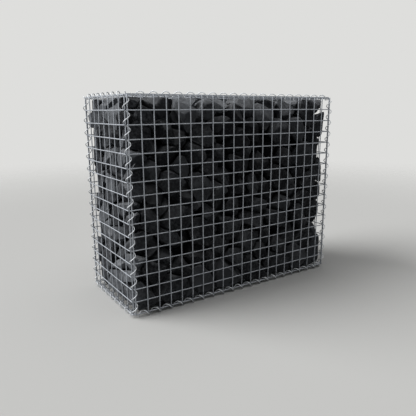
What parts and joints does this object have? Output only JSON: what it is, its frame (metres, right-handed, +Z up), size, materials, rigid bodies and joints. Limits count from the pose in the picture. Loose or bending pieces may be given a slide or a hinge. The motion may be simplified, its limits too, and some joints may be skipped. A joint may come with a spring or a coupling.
{
  "type": "gabion wall",
  "caption": "Free-standing gabion wall: a galvanised welded mesh basket laced at its edges by spiral binders and filled with dark angular stone.",
  "frame": {"origin": "on the ground at the middle of the footprint", "axes": "+X along the wall, +Y to its back, +Z up"},
  "size_m": [1.0341, 0.4352, 0.8304],
  "materials": {
    "galvanised_mesh": "dull zinc coat",
    "galvanised_spiral": "satin zinc coat",
    "basalt": "rough split faces"
  },
  "bodies": {
    "root": {"front_panel": "galvanised_mesh", "back_panel": "galvanised_mesh", "left_end_panel": "galvanised_mesh", "right_end_panel": "galvanised_mesh", "base_panel": "galvanised_mesh", "lid_panel": "galvanised_mesh", "top_front_spiral": "galvanised_spiral", "top_back_spiral": "galvanised_spiral", "bottom_front_spiral": "galvanised_spiral", "bottom_back_spiral": "galvanised_spiral", "top_left_spiral": "galvanised_spiral", "top_right_spiral": "galvanised_spiral", "bottom_left_spiral": "galvanised_spiral", "bottom_right_spiral": "galvanised_spiral", "front_left_spiral": "galvanised_spiral", "front_right_spiral": "galvanised_spiral", "back_left_spiral": "galvanised_spiral", "back_right_spiral": "galvanised_spiral", "stone_course_1": "basalt", "stone_course_2": "basalt", "stone_course_3": "basalt", "stone_course_4": "basalt", "stone_course_5": "basalt", "stone_course_6": "basalt", "stone_course_7": "basalt", "stone_course_8": "basalt"}
  },
  "joints": []
}
